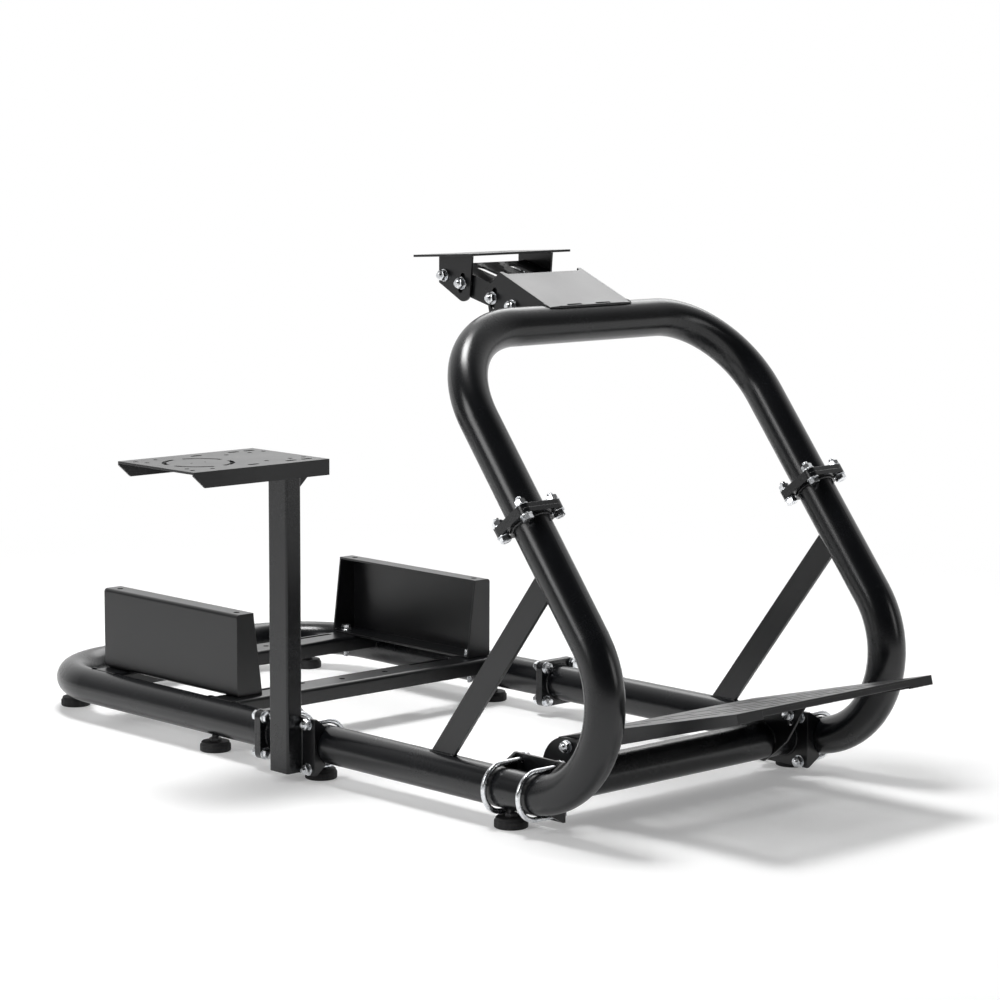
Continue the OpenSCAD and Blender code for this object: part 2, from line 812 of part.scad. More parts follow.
// The folded arm between the bracket and the wheel plate, drawn along its own slope
module wheel_arm() {
    color(black) placed() difference() {
        union() {
            both_sides() translate([arm_w / 2 - side_t, 0, 0]) side_plane()
                linear_extrude(side_t) arm_side();
            translate([0, arm_low_y, arm_low_z]) rotate([arm_angle, 0, 0])
                translate([0, 0, arm_h / 2 - side_t]) linear_extrude(side_t) arm_web();
        }
        for (p = [[arm_low_y, arm_low_z], [arm_top_y, arm_top_z]])
            cross_pin(p[0], p[1], pivot_r, arm_w);
        for (p = [[arm_slot_y, arm_slot_z], [arm_top_slot_y, arm_top_slot_z]])
            cross_pin(p[0], p[1], hole_r, arm_w);
    }
}

module arm_side() {
    translate([arm_low_y, arm_low_z]) rotate(arm_angle) {
        translate([0, -arm_h / 2]) square([arm_span, arm_h]);
        circle(r = arm_h / 2);
        translate([arm_span, 0]) circle(r = arm_h / 2);
    }
}

// Top web of the arm with its two long windows
module arm_web() {
    difference() {
        translate([-arm_w / 2, 0]) square([arm_w, arm_span]);
        for (x = [-1, 1]) translate([x * arm_window_x, arm_window_y]) rotate(90)
            slot(arm_window_l, arm_window_w);
    }
}

// A hex bolt through an arm side and the plate beside it
module side_bolt() {
    grip = 2 * side_t + plate_gap + seam;
    cylinder(h = grip + washer_t + nut_h + thread_out, r = bolt_r);
    translate([0, 0, -nut_h]) hexagon(nut_h);
    translate([0, 0, grip]) cylinder(h = washer_t, r = washer_r);
    translate([0, 0, grip + washer_t]) hexagon(nut_h);
}

// Bolts that ride with the arm: upper pivots, upper slot bolts and lower slot bolts
module wheel_arm_bolts() {
    color(zinc) placed() both_sides()
        for (p = [[arm_slot_y, arm_slot_z], [arm_top_slot_y, arm_top_slot_z],
            [arm_top_y, arm_top_z]])
            translate([arm_w / 2 - side_t, p[0], p[1]]) rotate([0, 90, 0]) side_bolt();
}

module wheel_pivot_bolts() {
    color(zinc) placed() both_sides()
        translate([arm_w / 2 - side_t - seam, arm_low_y, arm_low_z])
        rotate([0, 90, 0]) side_bolt();
}

// The flat plate a wheel base is bolted to, with an ear down each side
module wheel_plate() {
    color(black) placed() difference() {
        union() {
            translate([0, wheel_y, wheel_z]) rotate([-wheel_tilt, 0, 0])
                translate([0, 0, -wheel_t / 2]) linear_extrude(wheel_t) wheel_deck();
            both_sides() translate([bracket_w / 2 - side_t, 0, 0]) side_plane()
                linear_extrude(side_t) wheel_ear();
        }
        cross_pin(arm_top_y, arm_top_z, pivot_r, wheel_w);
        translate([-wheel_w, arm_top_y, arm_top_z]) side_plane()
            arc_slot(top_slot_r, top_slot_angle - slot_reach, top_slot_angle + slot_reach,
                slot_w, 2 * wheel_w);
    }
}

// Outline of the wheel plate: four corner holes and three slots for a wheel base
module wheel_deck() {
    difference() {
        rounded(wheel_w, wheel_l, 3);
        for (x = [-1, 1], y = [-1, 1])
            translate([x * wheel_hole_x, y * wheel_hole_y]) circle(d = wheel_hole_d);
        for (x = [-1, 0, 1]) translate([x * wheel_slot_x, 0]) rotate(90)
            slot(wheel_slot_l, wheel_hole_d);
    }
}

module wheel_ear() {
    polygon([[ear_front_top, wheel_z], [ear_rear_top, wheel_z], [ear_rear_top, ear_foot_z],
        [ear_tip_y + ear_tip_r * sin(ear_slope), ear_tip_z - ear_tip_r * cos(ear_slope)],
        [ear_tip_y, ear_tip_z], [ear_tip_y - ear_tip_r, ear_tip_z]]);
    translate([ear_tip_y, ear_tip_z]) circle(r = ear_tip_r - lap);
}

// The clamp that carries the shifter post, cut to fit its rail
module shifter_clamp() {
    color(black) placed() translate([-rail_x, post_y, rail_z]) difference() {
        mirror([1, 0, 0]) clamp(shifter_stand);
        translate([0, -clamp_l, 0]) rotate([-90, 0, 0])
            cylinder(h = 2 * clamp_l, r = tube_r + seam);
    }
}

module shifter_u_bolts() {
    color(zinc) placed() for (y = [-1, 1])
        translate([-rail_x, post_y + y * ubolt_y, rail_z]) mirror([1, 0, 0])
            u_bolt(shifter_stand);
}

// A rectangular tube from below the rail up to the shifter plate
module shifter_post() {
    run = shifter_z - sheet_t - post_foot_z;
    color(black) placed() translate([post_x, post_y, post_foot_z]) difference() {
        linear_extrude(run) rounded(post_t, post_w, 3);
        translate([0, 0, -over]) linear_extrude(run + 2 * over)
            square([post_t - 2 * tube_wall, post_w - 2 * tube_wall], center = true);
    }
}

// The plate a shifter is bolted to: a flange down each long side, with cut corners
module shifter_plate() {
    color(black) placed() translate([shifter_inner, shifter_y, shifter_z]) {
        translate([0, 0, -sheet_t]) linear_extrude(sheet_t) difference() {
            translate([-shifter_l, -shifter_w / 2]) square([shifter_l, shifter_w]);
            shifter_holes();
        }
        for (y = [-shifter_w / 2 + sheet_t, shifter_w / 2]) translate([0, y, 0])
            rotate([90, 0, 0]) linear_extrude(sheet_t)
            polygon([[0, 0], [-shifter_l, 0], [-shifter_l, -sheet_t - 2],
                [-shifter_l + shifter_cut, -shifter_flange], [0, -shifter_flange]]);
    }
}

// Fixing holes of the shifter plate: a ring of curved slots and rows for other bases
module shifter_holes() {
    translate([ring_x, 0]) {
        for (a = [0 : 90 : 270]) rotate(a + ring_slot_from) ring_slot(ring_slot_turn);
        for (x = [-1, 1]) translate([x * ring_hole_x, 0]) circle(r = row_r / 2);
    }
    for (y = [-1, 1]) {
        for (x = row_in_holes) translate([-x, y * row_in]) circle(r = row_r);
        for (x = row_out_slots) translate([-x, y * row_out]) slot(row_slot_l, 2 * row_r);
        for (x = row_out_holes) translate([-x, y * row_out]) circle(r = row_r);
    }
}

// One curved slot of the ring, drawn flat, that starts on the X axis
module ring_slot(turn) {
    reach = 2 * ring_r;
    difference() {
        circle(r = ring_r + ring_slot_w / 2);
        circle(r = ring_r - ring_slot_w / 2);
        rotate(180) translate([-reach, 0]) square([2 * reach, reach]);
        rotate(turn) translate([-reach, 0]) square([2 * reach, reach]);
    }
}

module shifter_gusset() {
    color(black) placed()
        translate([post_x + post_t / 2, post_y + sheet_t / 2, shifter_z - sheet_t])
        rotate([90, 0, 0]) linear_extrude(sheet_t)
        polygon([[0, 0], [gusset_l, 0], [gusset_l, -shifter_flange / 2],
            [gusset_foot, -gusset_l], [0, -gusset_l]]);
}

rear_base_tube();
right_side_tube();
left_side_tube();
top_hoop();
right_brace();
left_brace();
front_seat_crossmember();
rear_seat_crossmember();
right_seat_bracket();
left_seat_bracket();
seat_bracket_bolts();
levelling_feet();
foot_studs();
base_flange_bolts();
leg_flange_bolts();
right_pedal_clamp();
left_pedal_clamp();
right_pedal_u_bolts();
left_pedal_u_bolts();
pedal_crossbar();
pedal_ears();
pedal_plate();
pedal_pivot_bolts();
pedal_lock_bolts();
wheel_bracket();
wheel_pivot_bolts();
wheel_arm();
wheel_arm_bolts();
wheel_plate();
shifter_clamp();
shifter_u_bolts();
shifter_post();
shifter_plate();
shifter_gusset();
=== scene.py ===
# %% [markdown]
# # A sim racing cockpit in bent steel tube
# The real rig is two bent side tubes, a rear tube and an upper hoop, bolted together at
# four pairs of flange plates, with pressed steel mounts for a wheel, pedals, a shifter
# and a seat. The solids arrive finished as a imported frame. This lesson gives them a
# powder coat, swaps the plain fasteners for ones with chamfers and threads, lays weld
# beads, and lights the whole as a studio would.

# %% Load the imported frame
import math

import bmesh
import bpy
from mathutils import Matrix, Vector


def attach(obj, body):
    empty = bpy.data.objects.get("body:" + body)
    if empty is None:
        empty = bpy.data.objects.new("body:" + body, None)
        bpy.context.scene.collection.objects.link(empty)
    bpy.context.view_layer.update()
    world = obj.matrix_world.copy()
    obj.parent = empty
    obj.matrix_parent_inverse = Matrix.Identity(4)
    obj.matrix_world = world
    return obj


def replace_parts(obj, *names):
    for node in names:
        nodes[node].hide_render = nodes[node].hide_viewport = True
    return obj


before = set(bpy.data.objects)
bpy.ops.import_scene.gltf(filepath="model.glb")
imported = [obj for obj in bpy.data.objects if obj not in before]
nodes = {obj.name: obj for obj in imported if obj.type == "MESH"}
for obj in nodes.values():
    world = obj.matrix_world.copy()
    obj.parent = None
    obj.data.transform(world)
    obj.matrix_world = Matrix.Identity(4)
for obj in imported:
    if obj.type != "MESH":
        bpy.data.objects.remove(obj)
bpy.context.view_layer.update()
print("solids in the frame:", len(nodes))

# %% [markdown]
# The solids share one frame of axes: +Y runs from the pedals back to the seat, +Z is up,
# and the origin is under the middle of the whole box. The maker's drawing measures from
# the pedal crossbar and the centre plane instead, in millimetres, so one small function
# turns drawing measures into metres in the shared frame.

# %% Drawing measures to frame metres
MIDDLE_X = -88.75
MIDDLE_Y = 383.398


def at(x, y, z):
    return Vector(((x - MIDDLE_X) / 1000, (y - MIDDLE_Y) / 1000, z / 1000))


RAIL_X, RAIL_Z, TUBE_R = 260.0, 47.5, 25.0
LEAN = math.radians(38)
BEND_R, BEND_Y = 126.0, -20.0
LEG_FOOT_Y = BEND_Y - BEND_R * math.cos(LEAN)
LEG_FOOT_Z = RAIL_Z + BEND_R + BEND_R * math.sin(LEAN)


def leg_y(z):
    return LEG_FOOT_Y + (z - LEG_FOOT_Z) * math.tan(LEAN)


JOINT_Y, LEG_JOINT_Z, TOP_BAR_Z = 470.0, 386.0, 602.0
print("the top bar is %.1f mm behind the crossbar" % leg_y(TOP_BAR_Z))

# %% [markdown]
# The camera stands where the photographer stood, in front of the driver's right side at
# about a person's seated eye height, with a long lens that keeps the tubes almost
# parallel. Its place was solved from the straight tubes, so it is set as a matrix of
# three directions rather than aimed by hand.

# %% Camera
def camera_matrix(place, turn, height, roll):
    back = Vector((math.sin(turn) * math.cos(height), -math.cos(turn) * math.cos(height),
                   math.sin(height)))
    right = Vector((math.cos(turn), math.sin(turn), 0))
    up = back.cross(right)
    across = right * math.cos(roll) + up * math.sin(roll)
    upward = up * math.cos(roll) - right * math.sin(roll)
    matrix = Matrix((across, upward, back)).transposed().to_4x4()
    matrix.translation = place
    return matrix


eye = bpy.data.objects.new("camera", bpy.data.cameras.new("camera"))
bpy.context.scene.collection.objects.link(eye)
eye.matrix_world = camera_matrix(at(-2769.564, -2636.006, 899.743), math.radians(-43.192),
                                 math.radians(7.696), math.radians(0.209))
eye.data.sensor_width = 36
eye.data.lens = 109.17
eye.data.clip_end = 60
bpy.context.scene.camera = eye
print("camera at", [round(v, 3) for v in eye.location])

# %% [markdown]
# A shader is a sum of small functions of position: speckle times depth, wear times edge.
# Written as node wiring that is hard to follow, so a small class wraps one socket and
# lets plain Python expressions add the Math nodes.

# %% Shader expressions
class Wire:
    """One socket of a node tree, used like a number."""

    def __init__(self, tree, socket):
        self.tree, self.socket = tree, socket

    def math(self, operation, *inputs):
        return node(self.tree, "ShaderNodeMath", {"operation": operation},
                    dict(enumerate(inputs)))

    def __add__(self, other):
        return self.math("ADD", self, other)

    def __mul__(self, other):
        return self.math("MULTIPLY", self, other)

    def __sub__(self, other):
        return self.math("SUBTRACT", self, other)

    def __rsub__(self, other):
        return self.math("SUBTRACT", other, self)

    def over(self, low, high):
        """0 below low, 1 above high, a smooth slope between."""
        return node(self.tree, "ShaderNodeMapRange", {"interpolation_type": "SMOOTHSTEP"},
                    {"Value": self, "From Min": low, "From Max": high})

    __radd__, __rmul__ = __add__, __mul__


def node(tree, kind, settings=None, values=None, output=0):
    """Adds a node: its settings first, then the values or wires of its sockets."""
    made = tree.nodes.new(kind)
    for name, value in (settings or {}).items():
        setattr(made, name, value)
    for name, value in (values or {}).items():
        if isinstance(value, Wire):
            tree.links.new(value.socket, made.inputs[name])
        else:
            made.inputs[name].default_value = value
    return Wire(tree, made.outputs[output])


def blank(name, **fixed):
    """A material with one Principled shader whose fixed values are on its own sockets."""
    material = bpy.data.materials.new(name)
    material.use_nodes = True
    shader = material.node_tree.nodes["Principled BSDF"]
    for socket, value in fixed.items():
        shader.inputs[socket.replace("_", " ")].default_value = value
    return material, material.node_tree, shader


def feed(shader, socket, wire):
    wire.tree.links.new(wire.socket, shader.inputs[socket])


def place_of(tree):
    """The point on the piece in metres, the same for every object of the frame."""
    return node(tree, "ShaderNodeTexCoord", output=3)


def speckle(tree, size_mm, detail=2.0, rough=0.5):
    """Soft noise between 0 and 1 whose blobs are about size_mm across."""
    return node(tree, "ShaderNodeTexNoise", {"noise_dimensions": "3D"},
                {"Vector": place_of(tree), "Scale": 1000.0 / size_mm, "Detail": detail,
                 "Roughness": rough})


def blend(tree, factor, low, high):
    """Colour low where factor is 0, colour high where it is 1."""
    return node(tree, "ShaderNodeMix", {"data_type": "RGBA"},
                {0: factor, 6: (*low, 1), 7: (*high, 1)}, output=2)


print("shader helpers ready")

# %% [markdown]
# Powder coat is melted plastic dust. It keeps a faint orange peel a couple of millimetres
# across, varies a little in shine from place to place, and rounds every sheet edge.
# Modelling those edge radii on every plate would cost many triangles, so the Bevel node
# bends the normal near an edge instead, and Bump adds the peel on top of it. The peel on
# the pedal plate is about four times as deep as on the other parts. The pressed sheet
# parts are drawn a little darker than the tubes, a painted shade, and the pedal plate
# lighter, a painted sheen for its top seen at a grazing angle.

# %% Powder coat
PEEL_DEPTH, DEEP_PEEL = 0.000012, 0.00005
CLOUD_MM, DUST_MM, PEEL_MM, FINE_PEEL_MM = 60, 1.1, 2.4, 0.7


def powder_coat(name, tone, gloss, peel=PEEL_DEPTH, edge=0.0011):
    material, tree, shader = blank(name, Specular_IOR_Level=0.5, IOR=1.5)
    soft = node(tree, "ShaderNodeBevel", {"samples": 4}, {"Radius": edge})
    cloud = speckle(tree, CLOUD_MM, 3)
    dust = speckle(tree, DUST_MM, 2)
    shade = blend(tree, cloud.over(0.35, 0.7), tone, [t * 1.18 for t in tone])
    grain = blend(tree, dust.over(0.55, 0.75) * 0.5, (1, 1, 1), (0.86, 0.86, 0.87))
    feed(shader, "Base Color", node(
        tree, "ShaderNodeMix", {"data_type": "RGBA", "blend_type": "MULTIPLY"},
        {0: 1.0, 6: shade, 7: grain}, output=2))
    feed(shader, "Roughness", gloss + (cloud - 0.5) * 0.10 + (dust - 0.5) * 0.06)
    height = speckle(tree, PEEL_MM, 1) * 0.85 + speckle(tree, FINE_PEEL_MM, 1) * 0.15
    feed(shader, "Normal", node(tree, "ShaderNodeBump", {}, {
        "Strength": 1.0, "Distance": peel, "Height": height, "Normal": soft}))
    return material


COAT = powder_coat("satin_black_powder_coat", (0.0040, 0.0044, 0.0054), 0.26)
# The sheet parts get a slightly darker copy of the tube coat: painted shade for the dim
# side plates.
PRESSED_WITH_PAINTED_SHADE = powder_coat("black_powder_coat_with_painted_shade_on_pressed_sheet", (0.0034, 0.0036, 0.0043),
                      0.31)
# A lighter copy of the coat: a painted sheen for the top of the pedal plate, which reads
# pale at a grazing view.
TREAD_WITH_PAINTED_SHEEN = powder_coat("black_powder_coat_with_painted_sheen_on_ribbed_tread", (0.0075, 0.0078, 0.0088), 0.36,
                    DEEP_PEEL)
print("coats:", COAT.name, PRESSED_WITH_PAINTED_SHADE.name, TREAD_WITH_PAINTED_SHEEN.name)

# %% [markdown]
# Bright zinc plate is a thin metal skin: pale, slightly blue, with faint cloudy patches
# and fine scratches from the tumbling barrel. Rubber feet are matt and pick up dust in
# their mould grain. The studs are blackened steel.

# %% Zinc, rubber and blackened steel
def zinc_plate():
    material, tree, shader = blank("bright_zinc_plate", Metallic=1.0)
    cloud = speckle(tree, 6, 3)
    scratch = speckle(tree, 0.5, 4, 0.7)
    feed(shader, "Base Color", blend(tree, cloud.over(0.3, 0.7), (0.86, 0.87, 0.88),
                                     (0.66, 0.68, 0.71)))
    feed(shader, "Roughness", cloud * 0.16 + scratch * 0.10 + 0.13)
    feed(shader, "Normal", node(tree, "ShaderNodeBump", {}, {
        "Strength": 1.0, "Distance": 0.00002, "Height": scratch}))
    return material


def foot_rubber():
    material, tree, shader = blank("matt_black_rubber", Specular_IOR_Level=0.35)
    dust = speckle(tree, 9, 4)
    grain = speckle(tree, 0.7, 2)
    feed(shader, "Base Color", blend(tree, dust.over(0.5, 0.8) * 0.6, (0.016, 0.016, 0.017),
                                     (0.045, 0.044, 0.043)))
    feed(shader, "Roughness", grain * 0.14 + 0.58)
    feed(shader, "Normal", node(tree, "ShaderNodeBump", {}, {
        "Strength": 1.0, "Distance": 0.00008, "Height": grain}))
    return material


def black_oxide():
    material, tree, shader = blank("blackened_steel", Metallic=0.6)
    wear = speckle(tree, 3, 4)
    feed(shader, "Base Color", blend(tree, wear.over(0.55, 0.75), (0.05, 0.05, 0.052),
                                     (0.16, 0.155, 0.15)))
    feed(shader, "Roughness", wear * 0.2 + 0.3)
    return material


ZINC, RUBBER, OXIDE = zinc_plate(), foot_rubber(), black_oxide()
SHEET = {"wheel_bracket", "wheel_arm", "wheel_plate", "pedal_ears", "shifter_plate",
         "shifter_clamp", "right_pedal_clamp", "left_pedal_clamp", "right_seat_bracket",
         "left_seat_bracket", "front_seat_crossmember", "rear_seat_crossmember",
         "shifter_gusset", "right_brace", "left_brace"}
# The pedal plate takes the lighter coat with its painted sheen.
FINISH = {"foot_studs": OXIDE, "levelling_feet": RUBBER, "pedal_plate": TREAD_WITH_PAINTED_SHEEN}
# Sheet parts take the darker coat with its painted shade.
for name, solid in nodes.items():
    usual = ZINC if "bolts" in name else PRESSED_WITH_PAINTED_SHADE if name in SHEET else COAT
    solid.data.materials.clear()
    solid.data.materials.append(FINISH.get(name, usual))
print("finishes given to", len(nodes), "solids")

# %% [markdown]
# Most fasteners are turned or pressed shapes: a profile spun round an axis. One function
# spins a list of (radius, height) pairs. A radius may also be a function of the angle,
# which gives the six flats of a nut and the helix of a thread from the same code.

# %% Turned shapes
def spin(mesh, profile, matrix, steps):
    rings = []
    for radius, height in profile:
        ring = []
        for step in range(steps):
            turn = 2 * math.pi * step / steps
            r = radius(turn) if callable(radius) else radius
            z = height(turn) if callable(height) else height
            ring.append(mesh.verts.new(matrix @ Vector((r * math.cos(turn),
                                                        r * math.sin(turn), z))))
        rings.append(ring)
    for low, high in zip(rings, rings[1:]):
        for step in range(steps):
            after = (step + 1) % steps
            mesh.faces.new((low[step], low[after], high[after], high[step]))
    mesh.faces.new(list(reversed(rings[0])))
    mesh.faces.new(rings[-1])


def finish_piece(mesh, name, material, body, smooth=35):
    bmesh.ops.recalc_face_normals(mesh, faces=mesh.faces)
    data = bpy.data.meshes.new(name)
    mesh.to_mesh(data)
    mesh.free()
    data.materials.append(material)
    piece = bpy.data.objects.new(name, data)
    bpy.context.scene.collection.objects.link(piece)
    data.shade_smooth()
    data.set_sharp_from_angle(angle=math.radians(smooth))
    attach(piece, body)
    print(name, len(data.polygons), "faces")
    return piece


def axis_matrix(origin, direction, turn=0.0):
    """A frame at origin whose Z points along direction, in metres."""
    tilt = Vector((0, 0, 1)).rotation_difference(Vector(direction)).to_matrix().to_4x4()
    return Matrix.Translation(origin) @ tilt @ Matrix.Rotation(turn, 4, "Z")


# %% [markdown]
# A nut is a hexagon whose corners are turned off by a cone, which leaves the curved lines
# that catch the light on each flat. The thread is a screw: its height is shifted by the
# angle, so every ring climbs one pitch a turn.

# %% Nuts, washers and threads
FLAT = 0.00641
ROD = 0.004
NUT_H, WASHER_T, THREAD_OUT = 0.0064, 0.0016, 0.004
CHAMFER = math.tan(math.radians(32))
THREAD_DEPTH = 0.00055


def flats(turn, half=FLAT):
    part = (turn + math.pi / 6) % (math.pi / 3) - math.pi / 6
    return half / math.cos(part)


def nut(mesh, matrix, height=NUT_H, half=FLAT):
    crown = half * 0.97
    side = lambda turn: flats(turn, half)
    drop = lambda turn: (side(turn) - crown) * CHAMFER
    spin(mesh, [(crown, 0.0), (side, drop), (side, lambda turn: height - drop(turn)),
                (crown, height)], matrix, 48)


def washer(mesh, matrix, outer=0.0084, thick=WASHER_T):
    edge = 0.0003
    spin(mesh, [(outer - edge, 0), (outer, edge), (outer, thick - edge),
                (outer - edge, thick)], matrix, 40)


def thread(mesh, matrix, length, rod=ROD, pitch=0.00125):
    steps, parts = 16, 4
    count = max(4, int(length / pitch * parts))
    profile = []
    for index in range(count + 1):
        z = length * index / count
        fade = min(1.0, (length - z) / 0.0008, z / 0.0004 if z else 0.0)
        wave = lambda t, z=z, fade=fade: rod - THREAD_DEPTH * (1 - fade * abs(
            2 * ((z / pitch - t / (2 * math.pi)) % 1.0) - 1))
        profile.append((wave, z))
    spin(mesh, profile, matrix, steps)


def plain_rod(mesh, matrix, length, rod=ROD):
    spin(mesh, [(rod, 0), (rod, length)], matrix, 20)


def through_bolt(mesh, matrix, low, high, head_turn=0.0):
    """A hex bolt along Z that clamps what lies between low and high, nut on top."""
    shift = lambda z: matrix @ Matrix.Translation((0, 0, z)) @ Matrix.Rotation(
        head_turn, 4, "Z")
    nut(mesh, shift(low - WASHER_T - NUT_H))
    washer(mesh, shift(low - WASHER_T))
    plain_rod(mesh, shift(low - 0.002), high - low + 0.004)
    washer(mesh, shift(high))
    nut(mesh, matrix @ Matrix.Translation((0, 0, high + WASHER_T)) @ Matrix.Rotation(
        head_turn * 1.7 + 0.3, 4, "Z"))
    thread(mesh, shift(high + WASHER_T), NUT_H + THREAD_OUT)


# %% [markdown]
# Four bolts hold each pair of flange plates. On the real rig the nuts stop at whatever
# angle the spanner left them, so each gets its own turn.

# %% Flange bolts
FLANGE_T, FLANGE_HOLE_X, FLANGE_HOLE_Y = 0.006, 0.0265, 0.0245


def turns(seed):
    """A repeatable spread of angles, one for each fastener."""
    return math.radians((seed * 47) % 60)


def flange_joint(mesh, centre, axis, seed):
    across = Vector((1, 0, 0))
    upright = Vector(axis).cross(across)
    for index, (a, b) in enumerate(((1, 1), (1, -1), (-1, 1), (-1, -1))):
        place = centre + across * (a * FLANGE_HOLE_X) + upright * (b * FLANGE_HOLE_Y)
        through_bolt(mesh, axis_matrix(place, axis), -FLANGE_T, FLANGE_T,
                     turns(seed + index))


low_bolts, leg_bolts = bmesh.new(), bmesh.new()
LEG_AXIS = (0, math.sin(LEAN), math.cos(LEAN))
for side in (-1, 1):
    flange_joint(low_bolts, at(side * RAIL_X, JOINT_Y, RAIL_Z), (0, 1, 0), 3 + side)
    flange_joint(leg_bolts, at(side * RAIL_X, leg_y(LEG_JOINT_Z), LEG_JOINT_Z), LEG_AXIS,
                 9 + side)
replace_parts(finish_piece(low_bolts, "base_flange_fasteners", ZINC, "frame"),
            "base_flange_bolts")
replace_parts(finish_piece(leg_bolts, "leg_flange_fasteners", ZINC, "frame"),
            "leg_flange_bolts")

# %% [markdown]
# A U-bolt is a bright rod bent round the tube with a thread cut on both legs. The bend
# lies in one plane, so a ring of points can be walked along it with two fixed directions
# and no twist.

# %% U-bolts
U_ROD, U_REACH, U_RADIUS, CLAMP_T = 0.0035, 0.002, 0.030, 0.004
PEDAL_STAND, SHIFTER_STAND, POST_Y, U_APART = 0.032, 0.026, 401, 31


def walk(mesh, path, outs, radii, steps=12, closed=False):
    """A tube of changing radius along a path; outs are directions square to the path."""
    rings = []
    last = len(path) - 1
    for index, (point, out, radius) in enumerate(zip(path, outs, radii)):
        before = path[index - 1] if index else (path[last] if closed else point)
        after = path[index + 1] if index < last else (path[0] if closed else point)
        along = (after - before).normalized()
        side = along.cross(out).normalized()
        angles = [2 * math.pi * s / steps for s in range(steps)]
        rings.append([mesh.verts.new(point + radius * (
            math.cos(angle) * out + math.sin(angle) * side)) for angle in angles])
    pairs = list(zip(rings, rings[1:])) + ([(rings[-1], rings[0])] if closed else [])
    for low, high in pairs:
        for s in range(steps):
            mesh.faces.new((low[s], low[(s + 1) % steps], high[(s + 1) % steps], high[s]))
    if not closed:
        mesh.faces.new(list(reversed(rings[0])))
        mesh.faces.new(rings[-1])


def u_bolt(mesh, centre, toward, stand):
    """toward is +1 or -1 along X, the way the two legs point."""
    face = stand + CLAMP_T
    path, outs = [], []
    for z in (1, -1):
        leg = [centre + Vector((toward * (x - U_REACH), 0, z * U_RADIUS))
               for x in (face + U_REACH, 0)]
        out = Vector((0, 0, z))
        if z == 1:
            path += leg
            outs += [out, out]
            for step in range(1, 24):
                turn = math.pi * (0.5 + step / 24)
                out = Vector((toward * math.cos(turn), 0, math.sin(turn)))
                path.append(centre + Vector((-toward * U_REACH, 0, 0)) + U_RADIUS * out)
                outs.append(out)
        else:
            path += reversed(leg)
            outs += [out, out]
    walk(mesh, path, outs, [U_ROD] * len(path), 16)
    for z in (1, -1):
        place = centre + Vector((toward * face, 0, z * U_RADIUS))
        matrix = axis_matrix(place, (toward, 0, 0), turns(z + 5))
        washer(mesh, matrix)
        nut(mesh, matrix @ Matrix.Translation((0, 0, WASHER_T)))
        thread(mesh, matrix, 0.012, U_ROD)


for name, side, centre_y, toward, stand in (
        ("right_pedal_u_bolts", -1, 0, 1, PEDAL_STAND),
        ("left_pedal_u_bolts", 1, 0, -1, PEDAL_STAND),
        ("shifter_u_bolts", -1, POST_Y, -1, SHIFTER_STAND)):
    bent = bmesh.new()
    for shift in (-U_APART, U_APART):
        u_bolt(bent, at(side * RAIL_X, centre_y + shift, RAIL_Z), toward, stand)
    pair = finish_piece(bent, name.replace("bolts", "bolt_pair"), ZINC, "frame")
    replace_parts(pair, name)

# %% [markdown]
# The pivots and slot bolts of the wheel arm and the pedal plate are short bolts along X.
# Those in the slots ride with the part they lock, so each group goes on its own body.

# %% Pivot, slot and seat bolts
PIVOT_Y, PIVOT_Z = -8, 94
SEAT_BOLT_X, SEAT_BOLT_LOW, SEAT_BOLTS_Y = 208, 34.5, (600, 881)


def cross_bolts(name, places, low, high, body, replaced):
    mesh = bmesh.new()
    for index, (y, z) in enumerate(places):
        for side in (-1, 1):
            origin = at(side * low * 1000, y, z)
            through_bolt(mesh, axis_matrix(origin, (side, 0, 0)), 0.0, high - low,
                         turns(index * 2 + side))
    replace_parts(finish_piece(mesh, name, ZINC, body), replaced)


cross_bolts("wheel_arm_fasteners", [(250, 631.5), (309.5, 648), (344, 657)], 0.0665,
            0.0743, "wheel_arm", "wheel_arm_bolts")
cross_bolts("wheel_pivot_fasteners", [(213, 623)], 0.0662, 0.0740, "frame",
            "wheel_pivot_bolts")
cross_bolts("pedal_pivot_fasteners", [(PIVOT_Y, PIVOT_Z)], 0.1770, 0.1858, "frame",
            "pedal_pivot_bolts")
cross_bolts("pedal_lock_fasteners", [(-53, 91)], 0.1770, 0.1858, "pedal_plate",
            "pedal_lock_bolts")
seat_bolts = bmesh.new()
for side in (-1, 1):
    for y in SEAT_BOLTS_Y:
        foot = axis_matrix(at(side * SEAT_BOLT_X, y, SEAT_BOLT_LOW), (0, 0, 1),
                           turns(y + side))
        thread(seat_bolts, foot, 0.0285)
        nut(seat_bolts, foot @ Matrix.Translation((0, 0, 0.0286)))
        washer(seat_bolts, foot @ Matrix.Translation((0, 0, 0.041)))
        nut(seat_bolts, foot @ Matrix.Translation((0, 0, 0.0426)))
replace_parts(finish_piece(seat_bolts, "seat_bracket_fasteners", ZINC, "frame"),
            "seat_bracket_bolts")

# %% [markdown]
# The pedal plate's front edge is turned down between its two corner returns, which
# stiffens the sheet and keeps a heel off its edge. Its section is drawn in the plate's own
# tilted plane and run from one return to the other, and it rides with the plate.

# %% Turned front edge of the pedal plate
TILT = math.radians(14)
FRONT_Y, EDGE_END_X = -288, 136.2


def on_plate(x, y, z):
    """Millimetres from the plate's pivot, along and square to its sheet."""
    return at(x, PIVOT_Y + y * math.cos(TILT) + z * math.sin(TILT),
              PIVOT_Z - y * math.sin(TILT) + z * math.cos(TILT))


